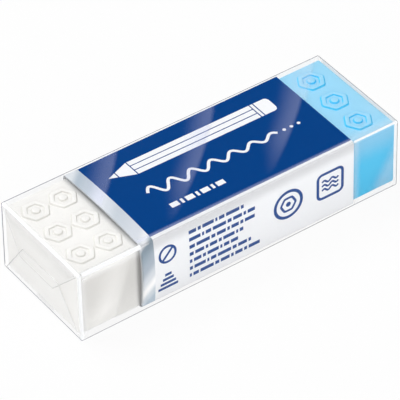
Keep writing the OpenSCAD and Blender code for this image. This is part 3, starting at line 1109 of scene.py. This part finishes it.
# %% The end walls
def add_end_wall(skin, ring, way, loose):
    """The flat end inside a ring of film, with its two folded flaps."""
    x = ring[0][0]
    lo, hi = film_corners(loose, film_r)
    top_z, low_z = hi.y - top_flap_d, lo.y + low_flap_d
    # Both outlines run anticlockwise, from one end of the fold line to the other.
    top = [(lo.x, hi.y), (lo.x + top_flap_near, top_z), (hi.x - top_flap_far, top_z),
           (hi.x, hi.y)]
    low = [(hi.x, lo.y), (hi.x - low_flap_in, low_z), (lo.x + low_flap_in, low_z),
           (lo.x, lo.y)]
    over = film_t * low_flap_d / (top_z - lo.y)
    middle = (lo + hi) / 2
    half = hi - middle + Vector((0.1, 0.1))
    shapes = [[(middle.x + (y - middle.x) * (1 - rim / half.x),
                middle.y + (z - middle.y) * (1 - rim / half.y)) for _, y, z in ring]
              for rim in (0, rim_near, rim_far)]
    for flap in (top, low):
        shapes += [flap, inset(flap, line_w), inset(flap, line_w + rim_w)]
    flat, loops = [], []
    for shape in shapes:
        loops.append(list(range(len(flat), len(flat) + len(shape))))
        flat += [Vector(point) for point in shape]
    points, _, faces, _, _, owners = delaunay_2d_cdt(flat, [], loops, 1, 1e-6)

    def layer(owner, whitened):
        """The layer on top and its slot: 0 wall, 1 top flap, 2 lower flap."""
        level = 2 if 6 in owner else 1 if 3 in owner else 0
        # Where whitened is set, the crease gets the painted highlight, and its rim beyond.
        if whitened and 1 not in owner:
            return level, HIGHLIGHT_CREASE
        if whitened and 2 not in owner:
            return level, CREASE_RIM
        # Both flaps show their lines, because one is seen through the other.
        depths = [sum(first + k in owner for k in range(3)) for first in (3, 6)]
        slot = FLAP_DARK if 1 in depths else FLAP_LIGHT if 2 in depths else FLAP
        return level, slot if level else FLAT

    def height(level, z):
        return (0, film_t, film_t + over * (z - lo.y) / low_flap_d)[level]

    placed = {}

    def corner(index, level):
        key = (index, level)
        if key not in placed:
            y, z = points[index]
            placed[key] = len(skin.points)
            skin.points.append((x + way * height(level, z), y, z))
        return placed[key]

    def keep(face, slot):
        skin.faces.append(face if way > 0 else face[::-1])
        skin.slots.append(slot)

    sides = {}
    for face, owner in zip(faces, owners):
        if 0 not in owner:
            continue
        at = sum((points[i] for i in face), Vector((0, 0))) / len(face)
        gaps = [hi.y - at.y, at.x - lo.x, hi.x - at.x, at.y - lo.y]
        level, slot = layer(owner, way < 0 and min(gaps) in gaps[:2])
        keep(tuple(corner(i, level) for i in face), slot)
        for a, b in zip(face, face[1:] + face[:1]):
            sides[(a, b)] = level
    for (a, b), level in sides.items():
        beside = sides.get((b, a), level)
        if level > beside:
            keep((corner(b, level), corner(a, level), corner(a, beside),
                  corner(b, beside)), FLAP)


add_end_wall(wrap_skin, outer_film[0], -1, 1)
add_end_wall(wrap_skin, outer_film[-1], 1, 0)

# %% Finish the film
wrap = wrap_skin.finish("clear_wrap", film_materials)
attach(wrap, "root")
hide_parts("film_wrap")

# %% [markdown]
# ## The studio
# The photograph has a white ground and light that is soft and nearly even, a little
# stronger from above. The stage is one bowl: a floor that rises smoothly into a wall, so
# that every view has the same white behind the object. For the camera and for mirrors it
# is mostly plain white, and a small share of it takes real light, which keeps a faint
# shadow under the pack.

# %% Stage
middle_r, floor_r, wall_r, wall_h = 40.0, 1100.0, 1500.0, 900.0
stage_white, stage_tree = new_material("white paper ground")
rays = add(stage_tree, "LightPath").outputs
seen = add(stage_tree, "Math", {0: rays["Is Camera Ray"], 1: rays["Is Glossy Ray"]},
           operation="MAXIMUM")
seen = add(stage_tree, "Math", {0: seen, 1: rays["Is Transmission Ray"]}, operation="MAXIMUM")
plain_share = 0.95
plain = add(stage_tree, "Math", {0: seen, 1: plain_share}, operation="MULTIPLY")
paper = add(stage_tree, "BsdfDiffuse", {"Color": linear("#e0e0e0")})
white_light = add(stage_tree, "Emission", {"Color": linear("#ffffff"), "Strength": 1.0})
ground = add(stage_tree, "MixShader", {0: plain, 1: paper, 2: white_light})
add(stage_tree, "OutputMaterial", {"Surface": ground})

bowl_steps, around = 12, 96
under = 0.02  # how far the floor lies below the pack
bowl = [(middle_r, 0.0), (floor_r, 0.0)]
bowl += [(floor_r + (wall_r - floor_r) * math.sin(a), (wall_r - floor_r) * (1 - math.cos(a)))
         for a in (math.radians(90 * (i + 1) / bowl_steps) for i in range(bowl_steps))]
bowl.append((wall_r, wall_h))
stage_skin = Skin()
stage_skin.add_rows([[(*arc_point((0, 0), r, 360 * i / around), z - under)
                      for i in range(around)] for r, z in bowl], 0)
stage_skin.add_cap(0, around, 0)
stage = stage_skin.finish("stage", [stage_white], at=Vector())
print(f"stage {2 * wall_r / 1000:.1f} m wide")

# %% [markdown]
# ## Light
# A lamp is given by where it stands and by the share of the plain level that it brings to
# a face that looks straight at it. At the plain level a white face renders white, so the
# shares of all the lamps and the room add up to little more than one on the top, under
# the film. A lamp of P watts gives a face at distance d the plain level when P is pi
# squared times d squared.

# %% Lamps and room
def direction(azimuth, elevation):
    """The way out from the object. Azimuth 0 is in front, towards -Y, and 90 towards +X."""
    a, e = math.radians(azimuth), math.radians(elevation)
    return Vector((math.sin(a) * math.cos(e), -math.cos(a) * math.cos(e), math.sin(e)))


def add_lamp(name, way, distance, size, level):
    """A square soft box that looks back at the object."""
    data = bpy.data.lights.new(name, "AREA")
    data.shape, data.size = "SQUARE", size
    data.energy = level * (math.pi * distance) ** 2
    lamp = new_object(name, data)
    lamp.location = way * distance
    lamp.rotation_euler = (-way).to_track_quat("-Z", "Y").to_euler()
    print(f"{name}: {data.energy:.2f} W")


add_lamp("key soft box", direction(-158, 58), 0.9, 0.5, 1.03)
add_lamp("front soft box", direction(30, 22), 0.9, 0.5, 0.42)
add_lamp("left soft box", direction(-50, 15), 0.9, 0.4, 0.44)

world = bpy.data.worlds.new("room")
bpy.context.scene.world = world
world.use_nodes = True
room = world.node_tree.nodes["Background"]
room.inputs["Color"].default_value = linear("#ffffff")
room.inputs["Strength"].default_value = 0.02

# %% [markdown]
# ## Camera
# The place was worked out from the corners of the pack: about 0.6 m away, 35 degrees
# round from the front, 41 degrees up, through a long lens, with the picture turned by a
# degree and a half.

# %% Set the camera
view_azimuth, view_elevation, view_roll = -34.572, 40.804, math.radians(-1.425)
view_distance, focal_px, picture_px = 596.92, 3522.3, 400
aim = Vector((1.019, 2.320, 2.883)) + block_at

forward = -direction(view_azimuth, view_elevation)
level_right = forward.cross(Vector((0, 0, 1))).normalized()
level_up = level_right.cross(forward)
right = level_right * math.cos(view_roll) + level_up * math.sin(view_roll)
up = right.cross(forward)
lens = bpy.data.cameras.new("camera")
lens.sensor_fit, lens.sensor_width = "HORIZONTAL", 36
lens.lens = focal_px * lens.sensor_width / picture_px
lens.clip_start, lens.clip_end = 0.01, 10
camera = new_object("camera", lens)
camera.matrix_world = Matrix.Translation((aim - forward * view_distance) * MM) @ Matrix(
    (right, up, -forward)).transposed().to_4x4()
bpy.context.scene.camera = camera
bpy.context.scene.view_settings.view_transform = "Standard"
print(f"lens {lens.lens:.0f} mm, {view_distance:.0f} mm from the aim")
